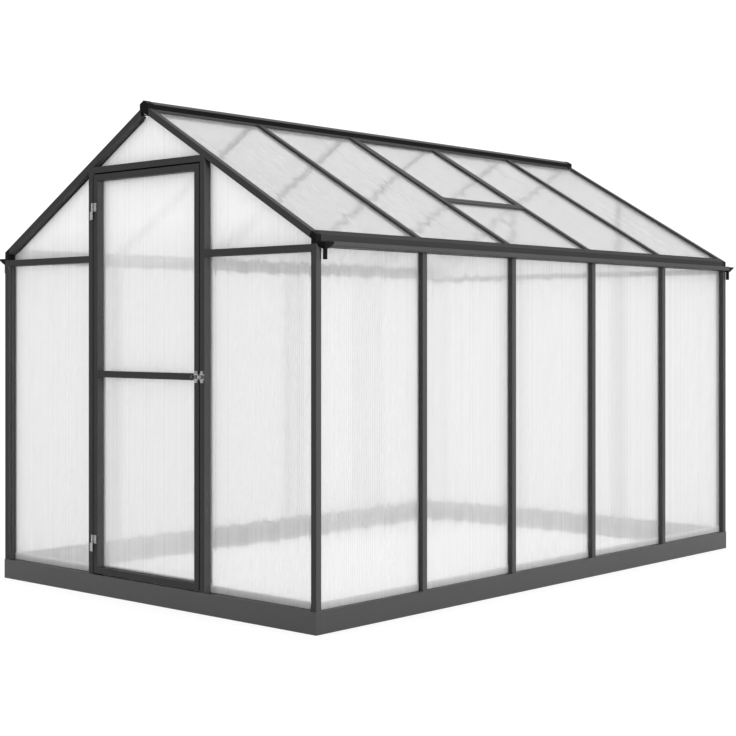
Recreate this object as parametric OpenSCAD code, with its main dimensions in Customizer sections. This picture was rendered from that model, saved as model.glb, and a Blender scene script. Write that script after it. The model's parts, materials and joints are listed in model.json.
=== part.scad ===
// Walk-in greenhouse: extruded metal frame on a raised base, twin-wall polycarbonate panes,
// a pitched roof with one vent, gutters with corner outlets, and a hinged door with a slide bolt.
// X runs across the gables, Y from the door gable (-Y) to the rear gable, Z up from the ground.

/* [Overall] */
// Width over the base, across a gable
base_w = 1900; // [1600:10:2300]
// Length over the base, along the ridge
base_l = 2941; // [2400:10:4000]
// Number of bays along each side
bays = 5; // [4:1:7]
// How much further back than equal bays the first post and roof bar stand
first_bar_back = 15; // [0:1:30]
// Height of the underside of the eave beams
eave_h = 1380; // [1250:5:1550]
// Roof pitch in degrees
pitch = 30.2; // [24:0.1:34]

/* [Base] */
// Height of the base
base_h = 82; // [60:1:140]
// How far the base stands out past the frame, all round
base_step = 2; // [1:0.5:8]
// Thickness of the base sheet
base_sheet = 2; // [1.5:0.1:3]
// Depth of the base channel, from its face inwards
base_depth = 46; // [44:1:70]
// Height of the returns on the base channel's open side
base_return = 12; // [6:1:20]
// Height of the sill that stands behind the panes
sill_h = 25; // [12:1:40]
// Leg of a base corner along the side
corner_leg_side = 25.6; // [15:0.1:60]
// Leg of a base corner along the gable
corner_leg_gable = 15; // [10:0.5:24]
// How far a corner's tongues reach into the base channels
corner_tongue = 30; // [15:1:60]

/* [Extrusions] */
// Wall thickness of the extrusions
wall = 1.6; // [1.2:0.1:2]
// Face width of posts, rafters, jambs and bars
face = 25.7; // [22:0.1:32]
// Depth of the side panes behind the wall's outer face
side_depth = 21.6; // [16:0.1:23]
// Depth of the gable panes behind the gable's outer face
gable_depth = 32; // [30:0.5:40]
// Depth of the roof panes below the tops of the roof bars
roof_depth = 10; // [6:0.5:14]
// How far a pane edge goes into its slot
slot = 11; // [8:0.5:12]
// Width of the lips behind a pane, past the slot
lip = 4; // [3:0.5:16]
// Bead in front of a corner post's gable pane
bead = 4; // [2:0.5:6]
// Half thickness of a bar's web between two panes
web_half = 1.5; // [0.8:0.1:2.5]
// Reach of a bar's lip behind the panes, from its middle
bar_lip = 13; // [10:0.5:18]
// Depth of the bolt leg under a roof bar
inner_leg = 12; // [8:0.5:20]
// Gap between pieces that meet end to end
joint = 0.3; // [0.1:0.1:1]

/* [Glazing] */
// Thickness of the twin-wall panes
pane_t = 6; // [4:0.5:8]
// Clearance on each face of a pane in its slot
fit = 0.2; // [0.1:0.05:0.4]
// Clearance at the edge of a pane
edge_gap = 1; // [0.5:0.1:2]

/* [Eaves] */
// Height of the eave beam's upright face
fascia_h = 45.8; // [40:0.1:60]
// Width of the eave beam's sloping lip, measured across the gable
eave_lip = 30; // [24:1:44]
// Width of the seat under a roof pane's lower edge
seat_w = 14; // [8:0.5:20]
// Drop of the eave beam's inner lip below its underside
eave_drop = 0; // [0:0.5:16]
// Distance from the sloping lip's upper edge down to the eave cap
cap_start = 7; // [4:0.5:12]
// Height of an eave cap's lower edge above the underside of the eave beam
cap_rise = 12; // [6:0.5:20]
// Outward reach of the gutter
gutter_w = 45; // [35:1:70]
// Height of the gutter
gutter_h = 20; // [14:1:30]
// Radius of the gutter's outer corner
gutter_round = 9; // [4:0.5:9.5]
// Thickness of the gutter
gutter_wall = 1.8; // [1.2:0.1:2.4]
// Radius of the bead along the gutter's rim
rim_r = 1.5; // [1:0.1:2]
// Wall thickness of an outlet
outlet_wall = 2; // [1.5:0.1:3]
// Height of an outlet's upright rim
outlet_rim = 4; // [2:0.5:6]
// Drop of an outlet's hopper below the gutter
outlet_drop = 6; // [3:0.5:12]
// Diameter of an outlet spout
spout_d = 16; // [12:1:22]
// Length of an outlet spout below its hopper
spout_l = 38; // [20:1:60]

/* [Ridge] */
// Half width of the ridge beam and its end caps
ridge_half = 23; // [20:0.5:30]
// Height of the ridge above the roof surface, measured square to the slope
ridge_rise = 16; // [10:0.5:24]
// Height of the groove along the ridge beam's side
ridge_groove_h = 4; // [3:0.5:6]
// Depth of that groove
ridge_groove_in = 5; // [3:0.5:8]
// Distance from the ridge beam's upper edge down to the groove
ridge_groove_top = 9; // [6:0.5:12]
// Distance of the ridge beam's inner webs from the middle
ridge_web = 6; // [4:0.5:10]
// Reach of the ridge beam's lips past its sides
ridge_reach = 5; // [3:0.5:10]
// How far a roof pane goes in under the ridge beam's lip
ridge_lap = 4; // [2:0.5:8]
// Depth of a ridge end cap
ridge_cap = 34; // [24:1:60]
// Drop of a ridge end cap's lower point below the rafters
ridge_cap_drop = 6; // [2:0.5:12]
// How far an end cap stands out in front of the gable
cap_reach = 4; // [1:0.5:10]

/* [Gable] */
// Clear width between the door jambs
opening_w = 660; // [560:5:760]
// Gap between the door header and the rafters, at the jambs
header_gap = 1; // [0.5:0.5:10]
// Distance of the gable tie rails' middle below the underside of the eave beams
tie_drop = 2.5; // [0:0.5:12]
// Gap round a tie rail where it passes a post's or jamb's lips
tie_clear = 2; // [0.5:0.5:4]
// Face height of the gable tie rails
tie_face = 27; // [20:0.5:34]
// Distance of the rear mullions from the middle
mullion_x = 343; // [250:1:420]

/* [Door] */
// Gap between the door and the hinge jamb
hinge_gap = 6; // [5:0.5:10]
// Gap between the door and the latch jamb
latch_gap = 7; // [6.5:0.5:12]
// Gap above and below the door
door_gap = 6; // [5:0.5:12]
// Height of the middle of the door's middle rail
mid_rail_h = 905; // [600:5:1200]
// Clearance between the back of the door and its stops
stop_gap = 6; // [5:0.5:10]
// Width of a stop showing inside the opening
stop_w = 12; // [7:0.5:20]
// Distance of a stop's spacer from the opening's edge
stop_inset = 2; // [0.5:0.5:5]
// Distance of a stop's far edge from the opening's edge
stop_foot = 10; // [7:0.5:14]

/* [Hinges] */
// Distance of the upper hinge's middle below the top of the door
upper_hinge_drop = 151; // [80:1:400]
// Height of the lower hinge's middle above the bottom of the door
lower_hinge_rise = 122; // [60:1:400]
// Height of one hinge leaf
leaf_h = 34; // [24:1:50]
// Width of the door's hinge leaf on its flat
leaf_w = 21; // [14:0.5:24]
// Width of the frame's hinge leaf on its flat
frame_leaf_w = 15; // [12:0.5:24]
// Thickness of hinge and latch plates
plate_t = 3; // [2:0.5:4]
// Outer diameter of a hinge knuckle
knuckle_d = 9; // [8:0.5:9.5]
// Gap between a hinge knuckle and the gable's face
knuckle_gap = 0.5; // [0.3:0.1:2]
// Diameter of a hinge pin
hinge_pin_d = 5; // [4:0.5:5.5]
// How far a hinge pin stops short of its knuckle's top
pin_short = 4; // [3:0.5:8]

/* [Latch] */
// Width of the latch plate and the keeper plate
latch_w = 24; // [22:1:26]
// Height of the latch plate and the keeper plate
latch_h = 45; // [36:1:60]
// Height of the tabs above and below the plates
tab_h = 10; // [6:0.5:12]
// Width of those tabs
tab_w = 16; // [10:0.5:18]
// Diameter of the bolt
bolt_d = 7; // [6:0.5:8]
// Outer diameter of the straps round the bolt
strap_d = 14; // [13:0.5:16]
// How far the straps' round backs sink into the plate
strap_sink = 1; // [0.5:0.1:2]
// Outer diameter of the keeper's ring
keeper_d = 15; // [14:0.5:17]
// Clearance between the bolt and the keeper's ring
keeper_play = 2; // [1.5:0.1:2.4]
// Length of the keeper's ring
keeper_l = 15; // [8:0.5:18]
// Gap between the keeper plate and the edge of its jamb
keeper_gap = 1; // [0.5:0.5:3]
// Diameter of the bolt's knob
knob_d = 5; // [4:0.5:5]
// Reach of the knob from the bolt's middle
knob_out = 13; // [10:0.5:16]
// Height and extra width of the knob's head
knob_head = 4; // [3:0.5:5]
// Room between the knob and a strap at each end of its travel
knob_room = 0.5; // [0.3:0.1:1]
// Travel of the bolt
bolt_travel = 13; // [10:0.5:13]
// Running clearance round pins and the bolt
running = 0.3; // [0.2:0.05:0.4]

/* [Roof vent] */
// Bay of the right slope that has the vent, counted from the door gable
vent_bay = 3; // [1:1:4]
// Distance of the vent's lower edge from the middle, measured across the gable
vent_foot = 562; // [300:1:700]
// Face width of the vent frame
vent_face = 16; // [12:1:24]
// How far the sill below the vent lies under the vent frame's face
vent_step = 1; // [0.5:0.5:4]

/* [Hidden] */
$fn = 48;

frame_tone = "#3c3d3f";
base_tone = "#58595b";
plastic_tone = "#1c1c1d";
pane_tone = "#e8ecee";
zinc_tone = "#c9cacc";

// Latch: the bolt lies in front of the door's face
bolt_out = plate_t + strap_d / 2 - strap_sink;
latch_reach = bolt_out + knob_out;

// The part is centred on its own box: the bolt's knob reaches further than the rear end cap
front_reach = latch_reach - base_step;
rear_reach = cap_reach - base_step;
base_front_y = -base_l / 2 + (front_reach - rear_reach) / 2;
base_rear_y = base_front_y + base_l;
front_y = base_front_y + base_step;
rear_y = base_rear_y - base_step;
frame_half = base_w / 2 - base_step;
bay = base_l / bays;

// Slots: inner face of the side, gable and roof panes' slots
side_back = side_depth + pane_t + fit;
gable_back = gable_depth + pane_t + fit;
roof_back = roof_depth + pane_t + fit;
frame_depth = gable_back + wall;
apex_h = eave_h + fascia_h + frame_half * tan(pitch);

// Roof: height of the surface at x, and the point d below it, square to the slope
function roof_z(x) = apex_h - abs(x) * tan(pitch);
function roof_pt(x, d) = [x - d * sin(pitch), roof_z(x) - d * cos(pitch)];
function foot(x) = x / cos(pitch);
function under_roof(x, d) = roof_z(x) - d / cos(pitch);

eave_x = frame_half - eave_lip;
cap_foot = eave_x + cap_start;
cap_bottom = eave_h + cap_rise;
eave_low = eave_h - eave_drop;
ridge_lip = ridge_half + roof_back * sin(pitch) + ridge_reach;
pane_foot = ridge_lip - ridge_lap;
tie_h = eave_h - tie_drop;
tie_notch_half = tie_face / 2 + tie_clear;
jamb_x = opening_w / 2;
header_h = under_roof(jamb_x, face) - face - header_gap;
door_left = -jamb_x + hinge_gap;
door_right = jamb_x - latch_gap;
door_low = base_h + door_gap;
door_top = header_h - door_gap;
hinge_x = -jamb_x + hinge_gap / 2;
hinge_out = knuckle_d / 2 + knuckle_gap;
upper_hinge_h = door_top - upper_hinge_drop;
lower_hinge_h = door_low + lower_hinge_rise;

function post_y(i) = base_front_y + i * bay + (i == 1 ? first_bar_back : 0);

// ---------- helpers ----------
module rect(x0, x1, y0, y1) {
    translate([x0, y0]) square([x1 - x0, y1 - y0]);
}

// Extrusions of a flat section: (x, y) along Z, (x, z) along Y, (y, z) along X
module along_z(z0, z1) {
    translate([0, 0, z0]) linear_extrude(z1 - z0) children();
}

module along_y(y0, y1) {
    translate([0, y1, 0]) rotate([90, 0, 0]) linear_extrude(y1 - y0) children();
}

module along_x(x0, x1) {
    translate([x0, 0, 0]) rotate([90, 0, 90]) linear_extrude(x1 - x0) children();
}

module to_left() {
    mirror([1, 0, 0]) children();
}

module to_rear() {
    translate([0, front_y + rear_y, 0]) mirror([0, 1, 0]) children();
}

// Frame of the right slope: x runs down the slope from the apex, z stands square to it
module on_slope() {
    translate([0, 0, apex_h]) rotate([0, pitch, 0]) children();
}

module slope_box(s0, s1, y0, y1, d0, d1) {
    on_slope() translate([s0, y0, -d1]) cube([s1 - s0, y1 - y0, d1 - d0]);
}

// Everything above the surface d below the roof, between two depths in from the front gable
module roof_space(d, v0, v1) {
    far = base_w;
    along_y(front_y + v0, front_y + v1)
        polygon([[-far, under_roof(far, d)], [0, under_roof(0, d)], [far, under_roof(far, d)],
            [far, 2 * apex_h], [-far, 2 * apex_h]]);
}

// ---------- sections of the extrusions ----------
// Corner extrusion, u in from the side or roof face, v in from the gable face:
// a square box whose back takes the side pane and whose inner edge takes the gable pane
module corner_section(depth) {
    back = depth + pane_t + fit;
    web = max(face - wall, back);
    slot_v = face - slot;
    rect(0, face, 0, wall);
    rect(0, wall, 0, face);
    rect(0, depth - fit, face - wall, face);
    rect(depth - fit - wall, depth - fit, slot_v - wall, face);
    rect(depth - fit - wall, back + wall, slot_v - wall, slot_v);
    rect(back, back + wall, slot_v - wall, gable_back + wall);
    rect(face - wall, face, 0, web > face - wall ? slot_v : gable_back + wall);
    rect(back, web + wall + lip, gable_back, gable_back + wall);
    rect(web, web + wall + bead, gable_depth - fit - wall, gable_depth - fit);
}

module corner_core(depth) {
    intersection() {
        corner_section(depth);
        square(face);
    }
}

// Glazing bar, a across its face and b in from its face: a box, a web between two panes and a lip
module bar_core(width, depth) {
    difference() {
        rect(-width / 2, width / 2, 0, depth - fit);
        rect(-width / 2 + wall, width / 2 - wall, wall, depth - fit - wall);
    }
}

module bar_web(depth) {
    rect(-web_half, web_half, depth - fit - wall, depth + pane_t + fit + wall);
}

module bar_section(width, depth) {
    bar_core(width, depth);
    bar_web(depth);
    rect(-bar_lip, bar_lip, depth + pane_t + fit, depth + pane_t + fit + wall);
}

// Edge extrusion of the door and its frame: a from its free edge, b in from its face
module edge_section() {
    front_lip = gable_depth - fit;
    slot_a = face - slot;
    rect(0, face, 0, wall);
    rect(0, wall, 0, frame_depth);
    rect(face - wall, face, 0, front_lip);
    rect(slot_a - wall, face, front_lip - wall, front_lip);
    rect(slot_a - wall, slot_a, front_lip - wall, frame_depth);
    rect(0, face + lip, gable_back, frame_depth);
}

module edge_core() {
    intersection() {
        edge_section();
        rect(0, face, 0, gable_back);
    }
}

// ---------- base ----------
module base_channel() {
    rect(0, base_sheet, 0, base_h);
    rect(0, base_depth, 0, base_sheet);
    rect(0, base_depth, base_h - base_sheet, base_h);
    rect(base_depth - base_sheet, base_depth, 0, base_return);
    rect(base_depth - base_sheet, base_depth, base_h - base_return, base_h);
}

module sill(back) {
    rect(base_step + back, base_step + back + wall, base_h, base_h + sill_h);
}

module gable_base(opening) {
    half = base_w / 2 - corner_leg_gable - joint;
    inner = base_w / 2 - base_depth - joint;
    sill_end = frame_half - side_back;
    translate([0, base_front_y, 0]) {
        along_x(-half, half) rect(0, base_sheet, 0, base_h);
        along_x(-inner, inner) base_channel();
        for (side = [-1, 1])
            along_x(side > 0 ? opening : -sill_end, side > 0 ? sill_end : -opening)
                sill(gable_back);
    }
}

module side_base() {
    y0 = base_front_y + corner_leg_side + joint;
    y1 = base_rear_y - corner_leg_side - joint;
    sill_y = base_step + frame_depth + joint;
    translate([base_w / 2, 0, 0]) to_left() {
        along_y(y0, y1) base_channel();
        along_y(base_front_y + sill_y, base_rear_y - sill_y) sill(side_back);
    }
}

// Base corner: outer angle, top and bottom plates and a tongue inside each base channel
module base_corner() {
    gap = base_sheet + joint;
    translate([base_w / 2, base_front_y, 0]) to_left() {
        for (z = [0, base_h - base_sheet])
            along_z(z, z + base_sheet) {
                rect(0, corner_leg_gable, 0, corner_leg_side);
                rect(0, base_depth, gap, corner_leg_side);
            }
        along_z(0, base_h) {
            rect(0, base_sheet, 0, corner_leg_side);
            rect(0, corner_leg_gable, 0, base_sheet);
        }
        along_z(gap, base_h - gap) {
            rect(gap, gap + base_sheet, base_sheet, corner_leg_side + corner_tongue);
            rect(gap, base_depth + corner_tongue, gap, gap + base_sheet);
        }
    }
}

module base_front() {
    color(base_tone) gable_base(jamb_x);
}

module base_rear() {
    color(base_tone) to_rear() gable_base(0);
}

module base_sides() {
    color(base_tone) {
        side_base();
        to_left() side_base();
    }
}

module base_corners() {
    color(base_tone)
        for (left = [false, true], rear = [false, true])
            at_corner(left, rear) base_corner();
}

// Places a front right piece at any corner
module at_corner(left, rear) {
    mirror([left ? 1 : 0, 0, 0])
        translate([0, rear ? front_y + rear_y : 0, 0])
            mirror([0, rear ? 1 : 0, 0]) children();
}

// ---------- posts ----------
module corner_post() {
    translate([frame_half, front_y, 0]) to_left() {
        along_z(base_h, cap_bottom) corner_core(side_depth);
        difference() {
            along_z(base_h + sill_h + joint, eave_low - joint) corner_section(side_depth);
            translate([side_back + wall, -1, tie_h - tie_notch_half])
                cube([face * 2, frame_depth * 2, tie_notch_half * 2]);
        }
    }
}

module front_left_post() {
    color(frame_tone) to_left() corner_post();
}

module front_right_post() {
    color(frame_tone) corner_post();
}

module rear_corner_posts() {
    color(frame_tone)
        for (left = [false, true])
            at_corner(left, true) corner_post();
}

module wall_posts() {
    for (i = [1 : bays - 1])
        translate([frame_half, post_y(i), 0]) rotate([0, 0, 90]) {
            along_z(base_h, eave_h) {
                bar_core(face, side_depth);
                bar_web(side_depth - wall);
            }
            along_z(base_h + sill_h + joint, eave_low - joint) bar_section(face, side_depth);
        }
}

module left_wall_posts() {
    color(frame_tone) to_left() wall_posts();
}

module right_wall_posts() {
    color(frame_tone) wall_posts();
}

// ---------- eaves ----------
// A strip parallel to the roof between two depths and two feet
module slope_strip(x0, x1, d0, d1) {
    polygon([roof_pt(x0, d1), roof_pt(x1, d1), roof_pt(x1, d0), roof_pt(x0, d0)]);
}

// Eave beam: sloping lip, fascia, the stop and seat of the roof panes, and the wall panes' channel
module eave_section() {
    pane_out = frame_half - side_depth + fit;
    pane_in = frame_half - side_back;
    seat_end = eave_x + seat_w / 2;
    slot_top = eave_h + slot + edge_gap;
    polygon([[frame_half, eave_h], [frame_half, roof_z(frame_half)], roof_pt(eave_x, 0),
        roof_pt(eave_x, wall), [frame_half - wall, under_roof(frame_half - wall, wall)],
        [frame_half - wall, eave_h]]);
    slope_strip(eave_x, eave_x + wall, 0, roof_back + wall);
    slope_strip(eave_x - seat_w, seat_end, roof_back, roof_back + wall);
    rect(pane_out, frame_half, eave_h, eave_h + wall);
    rect(pane_out, pane_out + wall, eave_h, slot_top);
    rect(pane_in - wall, pane_out + wall, slot_top, slot_top + wall);
    rect(pane_in - wall, pane_in, eave_low, under_roof(pane_in, roof_back + wall / 2));
}

// Both lengths of a beam or gutter, with the seam between them at mid length
module two_lengths(end) {
    middle = (front_y + rear_y) / 2;
    along_y(front_y + end, middle - joint) children();
    along_y(middle + joint, rear_y - end) children();
}

module eave_beam() {
    two_lengths(face) eave_section();
}

// Gutter: flat back and rim, with a rounded outer corner
module gutter_section() {
    difference() {
        gutter_outline(0);
        gutter_outline(gutter_wall);
    }
    translate([frame_half + gutter_w - rim_r, eave_h + gutter_h - rim_r]) circle(rim_r, $fn = 24);
}

module gutter_outline(inset) {
    x0 = frame_half + inset;
    x1 = frame_half + gutter_w - inset;
    z0 = eave_h + inset;
    z1 = eave_h + gutter_h + inset;
    r = gutter_round - inset;
    rect(x0, x1 - r, z0, z1);
    rect(x0, x1, z0 + r, z1);
    translate([x1 - r, z0 + r]) circle(r);
}

// Each gutter end is cut along the sloping side of its outlet's hopper
module gutter() {
    rim_y = gutter_w + joint;
    difference() {
        two_lengths(gutter_w / 2) gutter_section();
        for (rear = [false, true])
            at_corner(false, rear)
                translate([frame_half - 1, front_y, 0])
                    along_x(0, gutter_w + 2)
                        polygon([[0, hopper_low], [hopper_y(hopper_low) + joint, hopper_low], [rim_y, rim_z],
                            [rim_y, hopper_top + gutter_h], [0, hopper_top + gutter_h]]);
    }
}

// Outlet: a hopper at the gutter's end that narrows down to a spout
hopper_top = eave_h + gutter_h - outlet_wall;
hopper_low = eave_h - outlet_drop;
rim_z = hopper_top - outlet_rim;

// Reach of a hopper's gutter side behind the gable's face, at height z
function hopper_y(z) = gutter_w / 2 + spout_d / 2
    + (z - hopper_low) / (rim_z - hopper_low) * (gutter_w - spout_d) / 2;

module hopper_body(inset) {
    half = gutter_w / 2 - inset;
    throat = spout_d / 2 - inset;
    low = hopper_low + inset;
    top = hopper_top + inset;
    side = [[-throat, low], [throat, low], [half, rim_z], [half, top], [-half, top], [-half, rim_z]];
    intersection() {
        along_y(-half, half) polygon(side);
        along_x(-half, half) polygon(side);
    }
}

module gutter_outlet() {
    half = gutter_w / 2;
    translate([frame_half + half, front_y + half, 0])
        difference() {
            union() {
                hopper_body(0);
                translate([0, 0, hopper_low - spout_l]) cylinder(h = spout_l + 1, d = spout_d);
            }
            hopper_body(outlet_wall);
            translate([0, 0, hopper_low - spout_l - 1])
                cylinder(h = spout_l + gutter_h, d = spout_d - 2 * outlet_wall);
            translate([-half + outlet_wall, 0, eave_h + outlet_wall])
                cube([gutter_w - 2 * outlet_wall, gutter_w, gutter_h]);
        }
}

// Elbow cap between a rafter's foot and a corner post
module eave_cap() {
    along_y(front_y, front_y + face)
        polygon([roof_pt(cap_foot, 0), [frame_half, roof_z(frame_half)], [frame_half, cap_bottom],
            [frame_half - face, cap_bottom], [frame_half - face, under_roof(frame_half - face, face)],
            roof_pt(cap_foot, face)]);
}

module left_eave_beam() {
    color(frame_tone) to_left() eave_beam();
}

module right_eave_beam() {
    color(frame_tone) eave_beam();
}

module left_gutter() {
    color(frame_tone) to_left() gutter();
}

module right_gutter() {
    color(frame_tone) gutter();
}

module gutter_outlets() {
    color(plastic_tone)
        for (left = [false, true], rear = [false, true])
            at_corner(left, rear) gutter_outlet();
}

module eave_corner_caps() {
    color(plastic_tone)
        for (left = [false, true], rear = [false, true])
            at_corner(left, rear) eave_cap();
}

// ---------- ridge ----------
// Strip from an upright cut at x0 out to the ridge beam's lip, between two depths
module ridge_strip(x0, d0, d1) {
    polygon([[x0, under_roof(x0, d0)], [x0, under_roof(x0, d1)], roof_pt(ridge_lip, d1), roof_pt(ridge_lip, d0)]);
}

// Right half of the ridge beam: capping, grooved side, inner web, and the lips above and below the panes
module ridge_half_section() {
    side = ridge_half - 1;
    cap = 1 - ridge_rise;
    top = under_roof(side, cap);
    groove_top = top - ridge_groove_top;
    groove_low = groove_top - ridge_groove_h;
    groove_in = side - ridge_groove_in;
    web_end = ridge_web + wall;
    polygon([[0, under_roof(0, cap) - wall], [side, top - wall], [side, top], [0, under_roof(0, cap)]]);
    rect(side - wall, side, groove_top, top - wall / 2);
    rect(groove_in, side, groove_top, groove_top + wall);
    rect(groove_in, groove_in + wall, groove_low, groove_top + wall);
    rect(groove_in, side, groove_low - wall, groove_low);
    rect(side - wall, side, under_roof(side, roof_depth - fit - wall / 2), groove_low);
    ridge_strip(side - wall, roof_depth - fit - wall, roof_depth - fit);
    ridge_strip(0, roof_back, roof_back + wall);
    rect(ridge_web, web_end, under_roof(web_end, roof_back) - wall / 4, under_roof(web_end, cap) - wall / 2);
}

module ridge_beam() {
    inset = ridge_cap - cap_reach;
    color(frame_tone)
        along_y(front_y + inset, rear_y - inset) {
            ridge_half_section();
            to_left() ridge_half_section();
        }
}

module ridge_end_cap() {
    slope = ridge_half * tan(pitch);
    top = under_roof(0, -ridge_rise);
    low = under_roof(0, face) - ridge_cap_drop;
    along_y(front_y - cap_reach, front_y - cap_reach + ridge_cap)
        polygon([[0, top], [ridge_half, top - slope], [ridge_half, low + slope],
            [0, low], [-ridge_half, low + slope], [-ridge_half, top - slope]]);
}

module ridge_end_caps() {
    color(plastic_tone) {
        ridge_end_cap();
        to_rear() ridge_end_cap();
    }
}

// ---------- rafters and roof bars ----------
module rafter() {
    start = ridge_half + joint;
    beam_y = front_y + ridge_cap - cap_reach - joint;
    difference() {
        on_slope() {
            along_x(0, foot(cap_foot)) translate([front_y, 0]) rotate(-90) corner_core(roof_depth);
            along_x(0, foot(eave_x - seat_w) - edge_gap)
                translate([front_y, 0]) rotate(-90) corner_section(roof_depth);
        }
        translate([-base_w, front_y - 1, 0]) cube([base_w + start, frame_depth + 2, 2 * apex_h]);
        translate([-base_w, beam_y, 0]) cube([base_w + ridge_lip + joint, frame_depth, 2 * apex_h]);
    }
}

module front_left_rafter() {
    color(frame_tone) to_left() rafter();
}

module front_right_rafter() {
    color(frame_tone) rafter();
}

module rear_rafters() {
    color(frame_tone)
        for (left = [false, true])
            at_corner(left, true) rafter();
}

module roof_bars() {
    for (i = [1 : bays - 1])
        on_slope() translate([0, post_y(i), 0]) {
            along_x(foot(ridge_lip + joint), foot(eave_x) - joint)
                rotate(180) {
                    bar_core(face, roof_depth);
                    rect(-web_half, web_half, roof_depth - wall, roof_back);
                }
            along_x(foot(ridge_lip + joint), foot(eave_x - seat_w) - joint)
                rotate(180) {
                    bar_section(face, roof_depth);
                    rect(-wall / 2, wall / 2, roof_back, roof_back + inner_leg);
                }
        }
}

module left_roof_bars() {
    color(frame_tone) to_left() roof_bars();
}

module right_roof_bars() {
    color(frame_tone) roof_bars();
}

// ---------- gables ----------
// Cuts an upright gable piece to the underside of the rafters
module under_rafters() {
    difference() {
        children();
        roof_space(face, -1, face);
        roof_space(face + wall + lip + joint, face, frame_depth + 1);
    }
}

module door_jamb() {
    under_rafters() {
        translate([jamb_x, front_y, 0]) {
            along_z(base_h, apex_h) edge_core();
            difference() {
                along_z(base_h + sill_h + joint, apex_h) edge_section();
                translate([face, gable_depth, tie_h - tie_notch_half])
                    cube([face, frame_depth, tie_notch_half * 2]);
            }
        }
    }
}

module door_jambs() {
    color(frame_tone) {
        door_jamb();
        to_left() door_jamb();
    }
}

module door_header() {
    color(frame_tone)
        under_rafters()
            translate([0, front_y, header_h])
                along_x(-jamb_x + joint, jamb_x - joint)
                    mirror([1, -1]) edge_section();
}

// Stops behind the door's edges: a strip in the opening on a spacer behind the frame
module stop_section() {
    step = frame_depth + stop_gap;
    rect(-stop_w, stop_foot, step, step + wall);
    rect(stop_inset, stop_foot, frame_depth + fit, step + wall);
}

module door_stops() {
    color(plastic_tone)
        translate([0, front_y, 0]) {
            for (left = [false, true])
                mirror([left ? 1 : 0, 0, 0])
                    translate([jamb_x, 0, 0]) along_z(base_h + joint, header_h) stop_section();
            translate([0, 0, header_h])
                along_x(-jamb_x + stop_w + joint, jamb_x - stop_w - joint) mirror([1, -1]) stop_section();
        }
}

// Tie rail between x0 and x1, with its back parts stopping short of the corner post's slot
module tie_rail(x0, x1, front_x1) {
    translate([0, front_y, tie_h]) {
        along_x(x0, x1) mirror([1, -1]) bar_section(tie_face, gable_depth);
        along_x(x0, front_x1)
            mirror([1, -1])
                intersection() {
                    bar_core(tie_face, gable_depth);
                    rect(-tie_face, tie_face, 0, face - slot - wall - joint);
                }
    }
}

module outer_tie(x0) {
    tie_rail(x0, frame_half - side_back - wall - joint, frame_half - face);
}

module front_tie_rails() {
    color(frame_tone) {
        outer_tie(jamb_x + face);
        to_left() outer_tie(jamb_x + face);
    }
}

module rear_tie_rails() {
    inner = mullion_x - face / 2;
    color(frame_tone) to_rear() {
        outer_tie(mullion_x + face / 2);
        to_left() outer_tie(mullion_x + face / 2);
        tie_rail(-inner, inner, inner);
    }
}

module rear_mullion() {
    under_rafters() {
        translate([mullion_x, front_y, 0]) along_z(base_h, apex_h) bar_core(face, gable_depth);
        difference() {
            translate([mullion_x, front_y, 0])
                along_z(base_h + sill_h + joint, apex_h) bar_section(face, gable_depth);
            translate([-base_w / 2, front_y + gable_depth, tie_h - tie_notch_half])
                cube([base_w, frame_depth, tie_notch_half * 2]);
        }
    }
}

module rear_mullions() {
    color(frame_tone) to_rear() {
        rear_mullion();
        to_left() rear_mullion();
    }
}

// ---------- panes ----------
module wall_panes() {
    x0 = frame_half - side_depth - pane_t;
    corner = face - slot + edge_gap;
    gap = web_half + edge_gap;
    for (i = [0 : bays - 1]) {
        y0 = i == 0 ? front_y + corner : post_y(i) + gap;
        y1 = i == bays - 1 ? rear_y - corner : post_y(i + 1) - gap;
        translate([x0, y0, base_h + joint])
            cube([pane_t, y1 - y0, eave_h + slot - base_h - joint]);
    }
}

module left_wall_panes() {
    color(pane_tone) to_left() wall_panes();
}

module right_wall_panes() {
    color(pane_tone) wall_panes();
}

pane_top = face + edge_gap;
pane_side = frame_half - side_back - wall - edge_gap;
tie_gap = web_half + edge_gap;

module gable_sheet() {
    along_y(front_y + gable_depth, front_y + gable_depth + pane_t) children();
}

// Side panes of a gable, from x0 outwards: one below the tie rail and one above it
module gable_side_panes(x0) {
    gable_sheet() {
        rect(x0, pane_side, base_h + joint, tie_h - tie_gap);
        polygon([[x0, tie_h + tie_gap], [pane_side, tie_h + tie_gap],
            [pane_side, under_roof(pane_side, pane_top)], [x0, under_roof(x0, pane_top)]]);
    }
}

// Middle pane under the ridge, from z0 up
module peak_pane(half, z0) {
    gable_sheet()
        polygon([[-half, z0], [half, z0], [half, under_roof(half, pane_top)],
            [0, under_roof(0, pane_top)], [-half, under_roof(half, pane_top)]]);
}

module front_gable_panes() {
    edge = jamb_x + face - slot + edge_gap;
    color(pane_tone) {
        gable_side_panes(edge);
        to_left() gable_side_panes(edge);
        peak_pane(jamb_x - edge_gap, header_h + face - slot + edge_gap);
    }
}

module rear_gable_panes() {
    edge = mullion_x + web_half + edge_gap;
    half = mullion_x - web_half - edge_gap;
    color(pane_tone) to_rear() {
        gable_side_panes(edge);
        to_left() gable_side_panes(edge);
        peak_pane(half, tie_h + tie_gap);
        gable_sheet() rect(-half, half, base_h + joint, tie_h - tie_gap);
    }
}

// Roof pane of bay i, from foot x0 down to the eave
module roof_pane(i, x0) {
    corner = face - slot + edge_gap;
    gap = web_half + edge_gap;
    y0 = i == 0 ? front_y + corner : post_y(i) + gap;
    y1 = i == bays - 1 ? rear_y - corner : post_y(i + 1) - gap;
    slope_box(foot(x0), foot(eave_x) - edge_gap, y0, y1, roof_depth, roof_depth + pane_t);
}

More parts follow.
